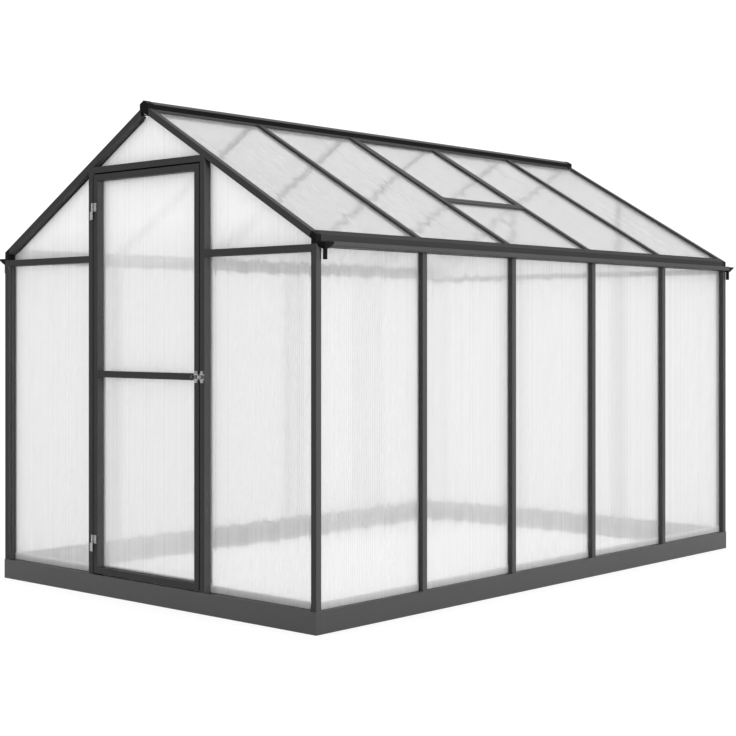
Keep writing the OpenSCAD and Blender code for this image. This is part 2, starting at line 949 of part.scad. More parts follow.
module left_roof_panes() {
    color(pane_tone) to_left()
        for (i = [0 : bays - 1])
            roof_pane(i, pane_foot);
}

module right_roof_panes() {
    color(pane_tone)
        for (i = [0 : bays - 1])
            roof_pane(i, i == vent_bay - 1 ? vent_foot + vent_face / 2 : pane_foot);
}

// ---------- roof vent ----------
vent_y0 = post_y(vent_bay - 1) + face / 2 + joint;
vent_y1 = post_y(vent_bay) - face / 2 - joint;
vent_s0 = foot(ridge_lip) + joint;
vent_s1 = foot(vent_foot);
vent_in = bar_lip - face / 2 + joint;

module vent_ring(outer, inner, d0, d1) {
    difference() {
        slope_box(vent_s0 + outer, vent_s1 - outer, vent_y0 + outer, vent_y1 - outer, d0, d1);
        slope_box(vent_s0 + inner, vent_s1 - inner, vent_y0 + inner, vent_y1 - inner, d0 - 1, d1 + 1);
    }
}

// Vent frame: a hollow rim on top, with a rebate below that holds the pane
module vent_frame() {
    low = roof_back + wall;
    color(frame_tone) {
        difference() {
            vent_ring(0, vent_face, 0, roof_depth - fit);
            vent_ring(wall, vent_face - wall, wall, roof_depth - fit - wall);
        }
        vent_ring(vent_in, vent_in + wall, roof_depth - fit - wall, low);
        vent_ring(vent_in, vent_face + bead, roof_back, low);
    }
}

module vent_pane() {
    edge = vent_in + wall + edge_gap;
    color(pane_tone)
        slope_box(vent_s0 + edge, vent_s1 - edge, vent_y0 + edge, vent_y1 - edge,
            roof_depth, roof_depth + pane_t);
}

// Fixed sill below the vent, which also holds the top of the lower pane
module vent_sill() {
    s0 = vent_s1 + joint;
    edge = face / 2;
    lip_edge = bar_lip + joint;
    floor_d = roof_depth - fit;
    y0 = post_y(vent_bay - 1);
    y1 = post_y(vent_bay);
    color(frame_tone) {
        difference() {
            slope_box(s0, s0 + vent_face, y0 + edge, y1 - edge, vent_step, floor_d);
            slope_box(s0 + wall, s0 + vent_face - wall, y0, y1, vent_step + wall, floor_d - wall);
        }
        slope_box(s0, s0 + wall, y0 + lip_edge, y1 - lip_edge, floor_d - wall, roof_back + wall);
        slope_box(s0, s0 + vent_face, y0 + lip_edge, y1 - lip_edge, roof_back, roof_back + wall);
    }
}

// ---------- door ----------
module door_hinge_stile() {
    color(frame_tone)
        translate([door_left, front_y, 0]) along_z(door_low, door_top) edge_section();
}

module door_latch_stile() {
    color(frame_tone)
        translate([door_right, front_y, 0]) to_left() along_z(door_low, door_top) edge_section();
}

// Rail section between the stiles, with the lip behind the pane cut back to clear theirs
module door_rail() {
    x0 = door_left + face;
    x1 = door_right - face;
    back = lip + joint;
    translate([0, front_y, 0]) {
        along_x(x0, x1) mirror([1, -1]) children(0);
        along_x(x0 + back, x1 - back) mirror([1, -1]) children(1);
    }
}

module door_rails() {
    color(frame_tone) {
        translate([0, 0, door_low]) door_rail() {
            edge_core();
            edge_section();
        }
        translate([0, 0, mid_rail_h]) door_rail() {
            bar_core(face, gable_depth);
            bar_section(face, gable_depth);
        }
        translate([0, 0, door_top]) mirror([0, 0, 1]) door_rail() {
            edge_core();
            edge_section();
        }
    }
}

module door_panes() {
    edge = face - slot + edge_gap;
    gap = web_half + edge_gap;
    color(pane_tone) gable_sheet() {
        rect(door_left + edge, door_right - edge, door_low + edge, mid_rail_h - gap);
        rect(door_left + edge, door_right - edge, mid_rail_h + gap, door_top - edge);
    }
}

// ---------- hinges ----------
// Leaf with its knuckle: the flat runs from the hinge line to x, over heights z0 to z1
module hinge_leaf(x, z0, z1) {
    start = hinge_x + (x > hinge_x ? 1 : -1) * plate_t / 2;
    translate([min(start, x), front_y - plate_t, z0]) cube([abs(x - start), plate_t, z1 - z0]);
    translate([hinge_x, front_y - hinge_out, z0]) cylinder(h = z1 - z0, d = knuckle_d);
}

// Lower leaf on the jamb, with the pin that carries the door
module hinge_frame_leaves() {
    color(zinc_tone)
        for (z = [lower_hinge_h, upper_hinge_h]) {
            hinge_leaf(-jamb_x - frame_leaf_w, z - leaf_h, z - joint);
            translate([hinge_x, front_y - hinge_out, z - leaf_h])
                cylinder(h = 2 * leaf_h - pin_short, d = hinge_pin_d);
        }
}

// Upper leaf on the door, with a bore that drops over the pin
module hinge_door_leaves() {
    color(zinc_tone)
        for (z = [lower_hinge_h, upper_hinge_h])
            difference() {
                hinge_leaf(door_left + leaf_w, z, z + leaf_h);
                translate([hinge_x, front_y - hinge_out, z - 1])
                    cylinder(h = leaf_h + 3 - pin_short, d = hinge_pin_d + 2 * running);
            }
}

// ---------- latch ----------
// Plate with a tab above and below, from x0 to x1 on the gable's face
module tabbed_plate(x0, x1) {
    middle = (x0 + x1) / 2;
    along_y(front_y - plate_t, front_y)
        translate([0, mid_rail_h]) {
            rect(x0, x1, -latch_h / 2 + tab_h, latch_h / 2 - tab_h);
            rect(middle - tab_w / 2, middle + tab_w / 2, -latch_h / 2, latch_h / 2);
        }
}

// Round bar along the bolt's line
module bolt_line(x0, x1, d) {
    translate([x0, front_y - bolt_out, mid_rail_h]) rotate([0, 90, 0]) cylinder(h = x1 - x0, d = d);
}

// Ring on a foot that stands on the plate
module strap(x0, x1, d, bore) {
    difference() {
        union() {
            bolt_line(x0, x1, d);
            translate([x0, front_y - bolt_out, mid_rail_h - d / 2])
                cube([x1 - x0, bolt_out - plate_t / 2, d]);
        }
        bolt_line(x0 - 1, x1 + 1, bore);
    }
}

latch_x1 = door_right - 1;
latch_x0 = latch_x1 - latch_w;
strap_w = (latch_w - bolt_travel - knob_d) / 2 - knob_room;
knob_x = latch_x0 + strap_w + knob_d / 2 + knob_room;

module latch_plate() {
    color(zinc_tone) {
        tabbed_plate(latch_x0, latch_x1);
        for (x = [latch_x0, latch_x1 - strap_w])
            strap(x, x + strap_w, strap_d, bolt_d + 2 * running);
    }
}

// Round bolt drawn back clear of the jamb, with its knob between the straps
module latch_bolt() {
    color(zinc_tone) {
        bolt_line(latch_x0, door_right + 2, bolt_d);
        translate([knob_x, front_y - bolt_out, mid_rail_h])
            rotate([90, 0, 0]) {
                cylinder(h = knob_out, d = knob_d);
                translate([0, 0, knob_out - knob_head]) cylinder(h = knob_head, d = knob_d + knob_head);
            }
    }
}

module latch_keeper() {
    x0 = jamb_x + keeper_gap;
    color(zinc_tone) {
        tabbed_plate(x0, x0 + latch_w);
        strap(x0, x0 + keeper_l, keeper_d, bolt_d + 2 * keeper_play);
    }
}

base_front();
base_rear();
base_sides();
base_corners();
front_left_post();
front_right_post();
rear_corner_posts();
left_wall_posts();
right_wall_posts();
left_eave_beam();
right_eave_beam();
left_gutter();
right_gutter();
gutter_outlets();
eave_corner_caps();
ridge_beam();
ridge_end_caps();
front_left_rafter();
front_right_rafter();
rear_rafters();
left_roof_bars();
right_roof_bars();
door_jambs();
door_header();
door_stops();
front_tie_rails();
rear_mullions();
rear_tie_rails();
left_wall_panes();
right_wall_panes();
front_gable_panes();
rear_gable_panes();
left_roof_panes();
right_roof_panes();
vent_frame();
vent_pane();
vent_sill();
door_hinge_stile();
door_latch_stile();
door_rails();
door_panes();
hinge_frame_leaves();
hinge_door_leaves();
latch_plate();
latch_bolt();
latch_keeper();
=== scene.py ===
# Walk-in greenhouse: finishes, twin-wall sheets, fixings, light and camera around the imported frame
import json
import math

import bpy
import numpy as np
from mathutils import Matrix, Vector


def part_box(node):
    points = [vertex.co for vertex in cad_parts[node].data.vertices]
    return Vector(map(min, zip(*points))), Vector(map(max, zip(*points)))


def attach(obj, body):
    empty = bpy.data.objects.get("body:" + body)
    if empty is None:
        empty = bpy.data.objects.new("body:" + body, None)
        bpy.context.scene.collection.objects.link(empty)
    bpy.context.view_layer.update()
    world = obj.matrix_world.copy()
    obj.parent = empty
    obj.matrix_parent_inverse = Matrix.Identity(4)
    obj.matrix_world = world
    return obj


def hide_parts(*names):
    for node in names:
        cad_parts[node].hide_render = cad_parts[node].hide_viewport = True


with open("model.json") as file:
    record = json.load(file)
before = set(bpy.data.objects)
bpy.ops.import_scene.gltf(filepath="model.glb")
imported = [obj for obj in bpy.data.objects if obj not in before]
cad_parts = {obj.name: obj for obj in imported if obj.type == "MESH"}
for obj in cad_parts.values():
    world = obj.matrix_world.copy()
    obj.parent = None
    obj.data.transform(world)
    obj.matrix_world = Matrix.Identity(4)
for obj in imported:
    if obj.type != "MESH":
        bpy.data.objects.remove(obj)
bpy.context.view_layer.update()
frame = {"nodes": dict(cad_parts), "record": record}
nodes = frame["nodes"]
bodyOf = {node: body for body, members in frame["record"]["behaviour"]["bodies"].items() for node in members}
slotOf = {part["node"]: part["material_slot"] for part in frame["record"]["subparts"]}

up = np.array([0.0, 0.0, 1.0])


# ---- shader helpers

# A socket with Python's operators: each one adds a Math node
class Field:
    def __init__(self, finish, socket):
        self.finish = finish
        self.socket = socket

    def math(self, operation, *values):
        return self.finish.node("ShaderNodeMath", {"operation": operation}, dict(enumerate(values)))

    def __add__(self, other):
        return self.math("ADD", self, other)

    def __sub__(self, other):
        return self.math("SUBTRACT", self, other)

    def __rsub__(self, other):
        return self.math("SUBTRACT", other, self)

    def __mul__(self, other):
        return self.math("MULTIPLY", self, other)

    def __truediv__(self, other):
        return self.math("DIVIDE", self, other)

    __radd__ = __add__
    __rmul__ = __mul__


# A material whose nodes all come from one method: type, settings, sockets by name or number, output
class Finish:
    def __init__(self, name):
        self.material = bpy.data.materials.new(name)
        self.material.use_nodes = True
        self.tree = self.material.node_tree
        self.tree.nodes.clear()
        self.end = self.tree.nodes.new("ShaderNodeOutputMaterial")

    def node(self, kind, settings=None, sockets=None, output=0):
        made = self.tree.nodes.new(kind)
        for key, value in (settings or {}).items():
            setattr(made, key, value)
        for key, value in (sockets or {}).items():
            if isinstance(value, Field):
                self.tree.links.new(value.socket, made.inputs[key])
            else:
                made.inputs[key].default_value = value
        return Field(self, made.outputs[output])

    def position(self):
        return self.node("ShaderNodeTexCoord", output="Object")

    # Noise at so many grains to the metre along each axis, 0 to 1
    def grain(self, place, scale, detail=2.0, roughness=0.5, turn=(0, 0, 0)):
        moved = self.node("ShaderNodeMapping", {"vector_type": "TEXTURE"}, {"Vector": place, "Rotation": turn})
        sized = self.node("ShaderNodeVectorMath", {"operation": "MULTIPLY"}, {0: moved, 1: scale})
        return self.node("ShaderNodeTexNoise", None,
                         {"Vector": sized, "Scale": 1.0, "Detail": detail, "Roughness": roughness})

    def blend(self, share, low, high):
        return self.node("ShaderNodeMix", {"data_type": "RGBA"}, {"Factor": share, "A": low, "B": high}, 2)

    def mix(self, share, first, second):
        return self.node("ShaderNodeMixShader", None, {0: share, 1: first, 2: second})

    def bump(self, height, distance, strength):
        return self.node("ShaderNodeBump", None, {"Strength": strength, "Distance": distance, "Height": height})

    def shows(self, shader):
        self.tree.links.new(shader.socket, self.end.inputs["Surface"])
        return self.material


# A grey a little warmer, or colder below zero
def grey(tone, warm=0.0):
    return (tone * (1 + warm), tone, tone * (1 - warm), 1.0)


# ---- finishes

coating = {
    "frame": {"tone": 0.021, "spread": 0.16, "roughness": 0.45, "specular": 0.1},
    # eave: the frame's powder coat again, set darker and duller as painted shade on the eave beam
    "eave": {"tone": 0.012, "spread": 0.16, "roughness": 0.5, "specular": 0.05},
    "base": {"tone": 0.036, "spread": 0.1, "roughness": 0.42, "specular": 0.5},
    "clouds": 5,         # slow changes of tone, to the metre
    "peel": 1500,        # bumps of the powder to the metre
    "peelDepth": 0.00004,
    "dieLines": 420,     # fine lines along an extrusion, to the metre
    "lineRun": 1.2,      # changes along such a line, to the metre
    "lineDepth": 0.00003,
    "lineShare": 0.3,    # share of the tone that follows the lines, the rest follows the clouds
    "cloudMatt": 0.16,   # change of roughness with the clouds
    "peelMatt": 0.08,    # and with the powder
    "relief": 0.6,
}


# Powder coat: tone goes from dark grey x (1 - spread) to dark grey x (1 + spread) with
# (1 - lineShare) x clouds + lineShare x the die's lines, and roughness rises where clouds and powder are
# pale; height = peelDepth x powder grain + lineDepth x lines that run along the extrusion
def powderCoat(name, kind, along, turn=(0, 0, 0)):
    look = coating[kind]
    finish = Finish(name)
    place = finish.position()
    clouds = finish.grain(place, (coating["clouds"],) * 3, detail=4)
    powder = finish.grain(place, (coating["peel"],) * 3, detail=1)
    drawn = tuple(coating["lineRun" if axis == along else "dieLines"] for axis in range(3))
    dies = finish.grain(place, drawn, detail=2, turn=turn)
    low = grey(look["tone"] * (1 - look["spread"]))
    high = grey(look["tone"] * (1 + look["spread"]))
    share = coating["lineShare"]
    colour = finish.blend(clouds * (1 - share) + dies * share, low, high)
    height = powder * coating["peelDepth"] + dies * coating["lineDepth"]
    matt = (clouds - 0.5) * coating["cloudMatt"] + (powder - 0.5) * coating["peelMatt"]
    return finish.shows(finish.node("ShaderNodeBsdfPrincipled", None, {
        "Base Color": colour, "Roughness": look["roughness"] + matt,
        "Specular IOR Level": look["specular"], "Normal": finish.bump(height, 1.0, coating["relief"])}))


plastic = {
    "tone": 0.0025, "patches": 14, "dark": 0.75, "pale": 1.3,
    "grain": 900, "depth": 0.00005, "relief": 0.7,
    "roughness": 0.55, "grainMatt": 0.2, "specular": 0.05,
}


# Moulded plastic: tone goes from tone x dark to tone x pale with slow patches, and a fine eroded grain sets
# the height and adds grainMatt x (grain - 1/2) to the roughness
def mouldedPlastic(name):
    finish = Finish(name)
    place = finish.position()
    grain = finish.grain(place, (plastic["grain"],) * 3, detail=3, roughness=0.6)
    patches = finish.grain(place, (plastic["patches"],) * 3, detail=3)
    low, high = [grey(plastic["tone"] * plastic[key]) for key in ("dark", "pale")]
    return finish.shows(finish.node("ShaderNodeBsdfPrincipled", None, {
        "Base Color": finish.blend(patches, low, high),
        "Roughness": plastic["roughness"] + (grain - 0.5) * plastic["grainMatt"],
        "Specular IOR Level": plastic["specular"], "Normal": finish.bump(grain, plastic["depth"], plastic["relief"])}))


zinc = {
    "hinge": {"tone": 0.36, "spread": 0.35},
    "latch": {"tone": 0.34, "spread": 0.45},
    "bolt": {"tone": 0.10, "spread": 0.3},
    "flower": 160,       # crystals to the metre
    "flowerSoft": 0.6,
    "flowerShare": 0.5,  # share of the tone that follows the crystals, the rest follows the smears
    "smear": 90, "brush": 1800,
    "roughness": 0.3, "smearMatt": 0.24, "flowerMatt": 0.1,
    "depth": 0.00003, "relief": 0.5,
    "warmth": 0.01,
}


# Zinc plate: tone goes from mean x (1 - spread) to mean x (1 + spread) with flowerShare x cloudy crystals +
# (1 - flowerShare) x smears, which change the roughness too, and a fine brushing sets the height
def zincPlate(name, kind):
    look = zinc[kind]
    finish = Finish(name)
    place = finish.position()
    flower = finish.node("ShaderNodeTexVoronoi", {"feature": "SMOOTH_F1"},
                         {"Vector": place, "Scale": zinc["flower"], "Smoothness": zinc["flowerSoft"]})
    smear = finish.grain(place, (zinc["smear"],) * 3, detail=4)
    brushed = finish.grain(place, (zinc["smear"], zinc["smear"], zinc["brush"]), detail=2)
    low = grey(look["tone"] * (1 - look["spread"]), zinc["warmth"])
    high = grey(look["tone"] * (1 + look["spread"]), -zinc["warmth"])
    share = zinc["flowerShare"]
    matt = (smear - 0.5) * zinc["smearMatt"] + (flower - 0.5) * zinc["flowerMatt"]
    return finish.shows(finish.node("ShaderNodeBsdfPrincipled", None, {
        "Base Color": finish.blend(flower * share + smear * (1 - share), low, high),
        "Metallic": 1.0, "Roughness": zinc["roughness"] + matt,
        "Normal": finish.bump(brushed, zinc["depth"], zinc["relief"])}))


sheet = {
    "pitch": 0.010,                # one flute and its rib
    "skin": 0.0006,
    "rib": 0.0005,
    "footEdge": 0.001,             # corners of the solid below this belong to its foot
    "clearIor": 1.08,              # what lies behind shows, a little bent
    "clearRough": 0.03,
    "wideIor": 1.15,               # what lies behind is smeared across the flutes
    "wideRough": 0.1,
    "wideLens": 0.35,              # lean of the face across a flute, where the light is smeared
    "wideWaves": 3.0,              # waves of that lean to a flute
    "lean": 0.03,                  # lean that differs from flute to flute
    "ripple": 0.035,               # lean along the flutes, from flute to flute
    "otherDraw": 517.0,            # step to a second chance for each flute
    "streakGrain": (240, 0.8, 1),  # drawn-out noise, to the metre across and along
    "cloudGrain": (1.6, 0.9, 1),
    "cloudHaze": 0.08,
    "foot": 0.3,                   # more haze low down on the sheet
    "footTop": 0.106,              # below this height
    "footSoft": 0.012,
    # fade: haze and chalk rise between these heights, painted light that makes the upper gable and door lighter
    "fade": (1.33, 1.52),          # between these heights the lower haze turns into the upper one
    "shine": 0.9,
    "shineRough": 0.16,
    "shineIor": 1.38,
    "shineShare": 0.2,             # share of the Fresnel value that shines
    "lamps": 0.97,                 # share of lamp light that one face lets through
    "backShift": (0.5, 7.3),       # pitches and metres by which the back skin's pattern is moved
}


# Haze is the share that scatters white and chalk the share of it that comes back from its own side, both low
# down and high up. Milk is how white it is. Every kind is the same twin-wall sheet: milk and chalk are set per
# wall as painted light and shade for the light that falls there, the roof's milk much darker as painted shade
# and the chalk rising up the gable and door as painted light. Clear is the share of the rest that only bends,
# by the lens, which is the lean of the face across a flute, and pass is how much of that light gets on. Streaks
# and comb are how much the haze changes with the drawn-out noise and from flute to flute
sheetKindsLitAndShaded = {
    "gable": {"haze": (0.37, 0.62), "chalk": (0.52, 1.0), "milk": 0.96, "clear": 0.80, "lens": 0.06,
              "streaks": 0.01, "comb": 0.06, "pass": 0.975},
    "door": {"haze": (0.46, 0.60), "chalk": (0.50, 1.0), "milk": 0.95, "clear": 0.80, "lens": 0.06,
             "streaks": 0.01, "comb": 0.08, "pass": 0.975},
    "side": {"haze": (0.36, 0.38), "chalk": (0.76, 0.76), "milk": 0.98, "clear": 0.76, "lens": 0.08,
             "streaks": 0.01, "comb": 0.06, "pass": 0.985},
    # roof: the same sheet with its milk set darker, painted shade
    "roof": {"haze": (0.30, 0.30), "chalk": (0.5, 0.5), "milk": 0.735, "clear": 0.88, "lens": 0.035,
             "streaks": 0.16, "comb": 0.03, "pass": 1.0},
}


# Face of a twin-wall sheet. u counts metres across the flutes and v along them. The normal leans across by
# lens x sin(2 pi u / pitch) + lean x (chance of the flute - 1/2), and much more, with a finer sine, for the
# smeared share, so an upright behind the sheet melts away and a level one stays. It leans along by
# ripple x (chance of the flute - 1/2), so a level edge behind looks ragged.
# haze = low + (high - low) x rise + foot x the foot band + cloudHaze x (clouds - 1/2) + streaks x (drawn-out
# noise - 1/2) + comb x (chance of the flute - 1/2), where rise goes from 0 to 1 up the wall and lifts the haze
# and the chalk with it, which paints the upper gable and door lighter as painted light, and the foot band goes
# from 1 to 0 over the strip in the base. Shadow and soft light go straight through
def sheetFace(name, kind):
    look = sheetKindsLitAndShaded[kind]
    finish = Finish(name)
    uv = finish.node("ShaderNodeUVMap", {"uv_map": "flutes"})
    across = finish.node("ShaderNodeSeparateXYZ", None, {0: uv}, "X")
    flute = across / sheet["pitch"]
    number = flute.math("FLOOR", flute)
    chance, second = [finish.node("ShaderNodeTexWhiteNoise", {"noise_dimensions": "1D"}, {"W": number + step})
                      for step in (0.0, sheet["otherDraw"])]
    turns = flute * (2 * math.pi)
    leanU = (chance - 0.5) * sheet["lean"]
    leanV = (second - 0.5) * sheet["ripple"]

    # Normal Map takes a lean of -1 to 1 as 0 to 1
    def leaning(wave, height):
        lean = finish.node("ShaderNodeCombineXYZ", None, {
            0: 0.5 + (leanU + wave.math("SINE", wave) * height) * 0.5, 1: 0.5 + leanV * 0.5, 2: 1.0})
        return finish.node("ShaderNodeNormalMap", {"uv_map": "flutes"}, {"Strength": 1.0, "Color": lean})

    bent = finish.node("ShaderNodeBsdfGlass", None, {
        "Color": grey(look["pass"]), "Roughness": sheet["clearRough"], "IOR": sheet["clearIor"],
        "Normal": leaning(turns, look["lens"])})
    wide = finish.node("ShaderNodeBsdfGlass", None, {
        "Color": grey(look["pass"]), "Roughness": sheet["wideRough"], "IOR": sheet["wideIor"],
        "Normal": leaning(turns * sheet["wideWaves"], sheet["wideLens"])})
    through = finish.mix(look["clear"], wide, bent)

    streaks = finish.grain(uv, sheet["streakGrain"], detail=2)
    clouds = finish.grain(uv, sheet["cloudGrain"], detail=2)
    height = finish.node("ShaderNodeSeparateXYZ", None, {0: finish.position()}, "Z")
    # rise lifts haze and chalk up the gable and door sheets: painted light on their upper part
    rise = finish.node("ShaderNodeMapRange", None, {
        "Value": height, "From Min": sheet["fade"][0], "From Max": sheet["fade"][1]})
    footBand = finish.node("ShaderNodeMapRange", None, {
        "Value": height, "From Min": sheet["footTop"] + sheet["footSoft"], "From Max": sheet["footTop"]})
    share, own = [rise * (look[key][1] - look[key][0]) + look[key][0] for key in ("haze", "chalk")]
    haze = (share + footBand * sheet["foot"] + (clouds - 0.5) * sheet["cloudHaze"]
            + (streaks - 0.5) * look["streaks"] + (second - 0.5) * look["comb"])

    glow = finish.node("ShaderNodeBsdfTranslucent", None, {"Color": grey(look["milk"])})
    chalk = finish.node("ShaderNodeBsdfDiffuse", None, {"Color": grey(look["milk"])})
    body = finish.mix(haze, through, finish.mix(own, glow, chalk))
    shine = finish.node("ShaderNodeBsdfGlossy", None, {
        "Color": grey(sheet["shine"]), "Roughness": sheet["shineRough"]})
    fresnel = finish.node("ShaderNodeFresnel", None, {"IOR": sheet["shineIor"]})
    seen = finish.mix(fresnel * sheet["shineShare"], body, shine)
    shadow, soft = [finish.node("ShaderNodeLightPath", output=ray) for ray in ("Is Shadow Ray", "Is Diffuse Ray")]
    openFace = finish.node("ShaderNodeBsdfTransparent", None, {"Color": grey(sheet["lamps"])})
    return finish.shows(finish.mix(shadow.math("MAXIMUM", shadow, soft), seen, openFace))


fluteInside = {
    "streakGrain": (300, 2, 1), "low": 0.8, "high": 0.95,
    "milk": 0.002, "streakMilk": 0.012, "roughness": 0.3,
}


# Wall of a flute inside a sheet: all but clear, with a share of milk of milk + streakMilk x drawn-out noise
def fluteWall(name):
    finish = Finish(name)
    look = fluteInside
    uv = finish.node("ShaderNodeUVMap", {"uv_map": "flutes"})
    streaks = finish.grain(uv, look["streakGrain"], detail=2)
    clear = finish.node("ShaderNodeBsdfTransparent", None, {"Color": grey(1.0)})
    milk = finish.node("ShaderNodeBsdfPrincipled", None, {
        "Base Color": finish.blend(streaks, grey(look["low"]), grey(look["high"])), "Roughness": look["roughness"]})
    return finish.shows(finish.mix(look["milk"] + streaks * look["streakMilk"], clear, milk))


roofRise = 0.5820  # to one metre across
pitchAngle = math.atan2(roofRise, 1.0)
coatX = powderCoat("coatAcross", "frame", 0)
coatY = powderCoat("coatAlong", "frame", 1)
coatZ = powderCoat("coatUpright", "frame", 2)
coatRight = powderCoat("coatRightSlope", "frame", 0, (0, pitchAngle, 0))
coatLeft = powderCoat("coatLeftSlope", "frame", 0, (0, -pitchAngle, 0))
# The eave beam wears the frame's coat set darker: painted shade
coatEave = powderCoat("coatEave", "eave", 1)
baseX = powderCoat("baseAcross", "base", 0)
baseY = powderCoat("baseAlong", "base", 1)
blackPlastic = mouldedPlastic("blackPlastic")
hingeZinc = zincPlate("hingeZinc", "hinge")
latchZinc = zincPlate("latchZinc", "latch")
boltSteel = zincPlate("boltSteel", "bolt")
faceSheet = {kind: sheetFace(kind + "Sheet", kind) for kind in sheetKindsLitAndShaded}
wallSheet = fluteWall("fluteWall")

finishOf = {
    "base_front": baseX, "base_rear": baseX, "base_sides": baseY, "base_corners": baseX,
    "front_left_post": coatZ, "front_right_post": coatZ, "rear_corner_posts": coatZ,
    "left_wall_posts": coatZ, "right_wall_posts": coatZ, "left_eave_beam": coatEave, "right_eave_beam": coatEave,
    "left_gutter": coatY, "right_gutter": coatY, "ridge_beam": coatY,
    "front_left_rafter": coatLeft, "front_right_rafter": coatRight, "rear_rafters": coatX,
    "left_roof_bars": coatLeft, "right_roof_bars": coatRight, "vent_frame": coatY, "vent_sill": coatY,
    "door_jambs": coatZ, "door_header": coatX, "front_tie_rails": coatX,
    "rear_mullions": coatZ, "rear_tie_rails": coatX,
    "door_hinge_stile": coatZ, "door_latch_stile": coatZ, "door_rails": coatX,
    "latch_plate": latchZinc, "latch_keeper": latchZinc, "latch_bolt": boltSteel,
}
otherFinish = {"black_plastic": blackPlastic, "zinc": hingeZinc, "pane": faceSheet["side"]}


# Puts materials on an object in slot order
def dress(thing, *materials):
    thing.data.materials.clear()
    for material in materials:
        thing.data.materials.append(material)


for name, thing in nodes.items():
    dress(thing, finishOf.get(name) or otherFinish[slotOf[name]])
print("finishes:", len(bpy.data.materials))


# ---- meshes from arrays

# A piece from points and four-cornered faces, riding on a CAD body
def makePiece(name, points, quads, materials, body, slot, faceKinds=None, uv=None):
    mesh = bpy.data.meshes.new(name)
    mesh.from_pydata(points.tolist(), [], quads.tolist())
    for material in materials:
        mesh.materials.append(material)
    if faceKinds is not None:
        mesh.polygons.foreach_set("material_index", faceKinds.astype(np.int32))
    if uv is not None:
        mesh.uv_layers.new(name="flutes").data.foreach_set("uv", uv.astype(np.float32).ravel())
    mesh.validate()
    mesh.update()
    piece = bpy.data.objects.new(name, mesh)
    bpy.context.scene.collection.objects.link(piece)
    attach(piece, body)
    slotOf[name] = slot
    return piece


# Several shells of points and faces as one: the faces of each are counted on from the points before it
def joined(shells):
    starts = np.cumsum([0] + [len(shell[0]) for shell in shells[:-1]])
    points = np.concatenate([shell[0] for shell in shells])
    return points, np.concatenate([shell[1] + start for shell, start in zip(shells, starts)])


# Corner points of each separate solid in a CAD node: every triangle spreads its smallest label to its
# three corners until nothing changes
def solidsOf(name):
    mesh = nodes[name].data
    places = np.empty(len(mesh.vertices) * 3, np.float32)
    mesh.vertices.foreach_get("co", places)
    corners = np.empty(len(mesh.loops), np.int32)
    mesh.loops.foreach_get("vertex_index", corners)
    merged, where = np.unique(np.round(places.reshape(-1, 3), 5), axis=0, return_inverse=True)
    triangles = where.ravel()[corners].reshape(-1, 3)
    label = np.arange(len(merged))
    while True:
        spread = label.copy()
        np.minimum.at(spread, triangles.ravel(), np.repeat(label[triangles].min(axis=1), 3))
        if (spread == label).all():
            break
        label = spread
    return [merged[label == k].astype(float) for k in np.unique(label)]


# ---- twin-wall sheets

# Directions of a flat sheet: out of the house, across the flutes and along them. The thin way is the
# axis of least spread, the flutes run up the sheet
def sheetAxes(points, middle):
    away = points - points.mean(axis=0)
    out = np.linalg.eigh(away.T @ away)[1][:, 0]
    out = out * np.sign(out @ (points.mean(axis=0) - middle))
    along = up - out * (up @ out)
    along = along / np.linalg.norm(along)
    return out, np.cross(along, out), along


